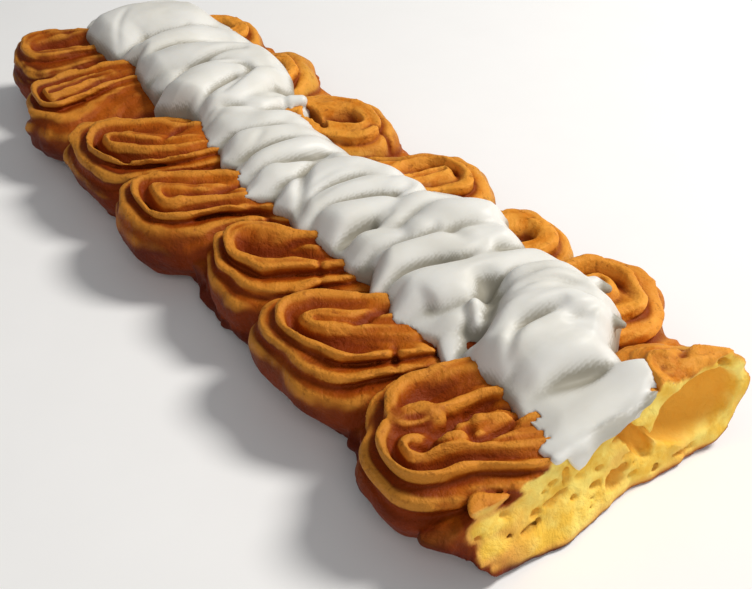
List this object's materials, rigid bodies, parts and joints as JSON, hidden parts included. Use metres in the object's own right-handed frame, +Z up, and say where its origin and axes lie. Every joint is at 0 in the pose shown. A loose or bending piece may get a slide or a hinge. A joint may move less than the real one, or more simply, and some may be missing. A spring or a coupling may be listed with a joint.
{
  "type": "choux pastry strip with whipped cream",
  "caption": "Long strip of baked choux piped as two rows of ridged comma swirls, with a band of whipped cream along the middle and one end cut across to show the hollow crumb.",
  "frame": {"origin": "middle of the strip's footprint, on the flat base it rests on", "axes": "+X along the strip towards the cut end, +Y across it towards the row with the sliced swirl, +Z up"},
  "size_m": [0.307, 0.1094, 0.0389],
  "materials": {
    "choux_crust": "baked egg-glazed choux, golden on top and dark brown at the lower sides, yellow crumb where it is cut",
    "whipped_cream": "white, soft, slightly moist whipped cream"
  },
  "bodies": {
    "root": {"pastry": "choux_crust", "cream": "whipped_cream"}
  },
  "joints": []
}
